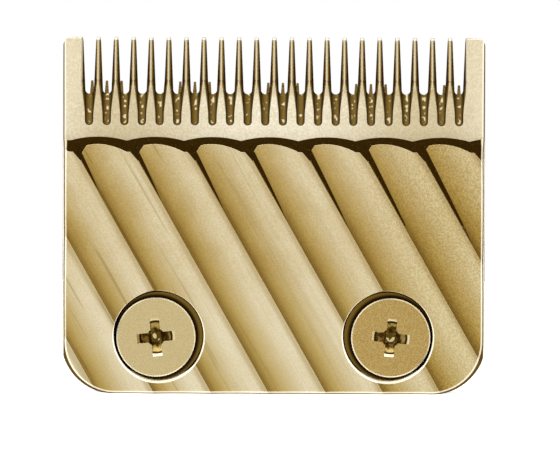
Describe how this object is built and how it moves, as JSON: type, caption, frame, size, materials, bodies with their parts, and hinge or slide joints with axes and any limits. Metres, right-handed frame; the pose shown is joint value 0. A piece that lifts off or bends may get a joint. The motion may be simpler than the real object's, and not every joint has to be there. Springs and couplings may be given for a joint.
{
  "type": "hair clipper blade head",
  "caption": "Adjustable hair clipper blade head: fluted gold comb blade over a sliding cutter, on a bracket with a sprung yoke and a taper slide.",
  "frame": {"origin": "midway between the two housing bolt holes, on the bracket's back face", "axes": "+X across the blade, +Z towards the tooth tips, +Y out of the back face towards the clipper body, so the fluted face looks along -Y"},
  "size_m": [0.0458, 0.016, 0.0386],
  "materials": {
    "gold_blade": "satin gold titanium nitride coating on ground steel",
    "bronze_cutter": "dark gold coated ground steel",
    "gold_screw": "turned and faced, gold coated",
    "die_cast": "fine satin black over a zinc die casting",
    "bush_brass": "turned",
    "spring_steel": "bright drawn",
    "plated_steel": "nickel plated",
    "black_acetal": "moulded, faintly waxy"
  },
  "bodies": {
    "head": {"fixed_blade": "gold_blade", "blade_screw_left": "gold_screw", "blade_screw_right": "gold_screw", "bracket": "die_cast", "screw_bush_left": "bush_brass", "screw_bush_right": "bush_brass", "guide_strip_left": "spring_steel", "guide_strip_right": "spring_steel", "strip_screw_left_upper": "plated_steel", "strip_screw_left_lower": "plated_steel", "strip_screw_right_upper": "plated_steel", "strip_screw_right_lower": "plated_steel"},
    "slide": {"taper_slide": "black_acetal", "taper_stud": "plated_steel", "tension_spring": "spring_steel", "spring_clamp": "plated_steel", "spring_screw_left": "plated_steel", "spring_screw_right": "plated_steel"},
    "cutter": {"cutter_blade": "bronze_cutter", "cutter_yoke": "black_acetal", "yoke_pin_left": "plated_steel", "yoke_pin_right": "plated_steel"}
  },
  "joints": [
    {"name": "taper", "type": "slide", "parent": "head", "child": "slide", "axis": [0, 0, 1], "range_m": [0, 0.0035]},
    {"name": "cutter_stroke", "type": "slide", "parent": "slide", "child": "cutter", "axis": [1, 0, 0], "range_m": [-0.00132, 0.00128]}
  ]
}
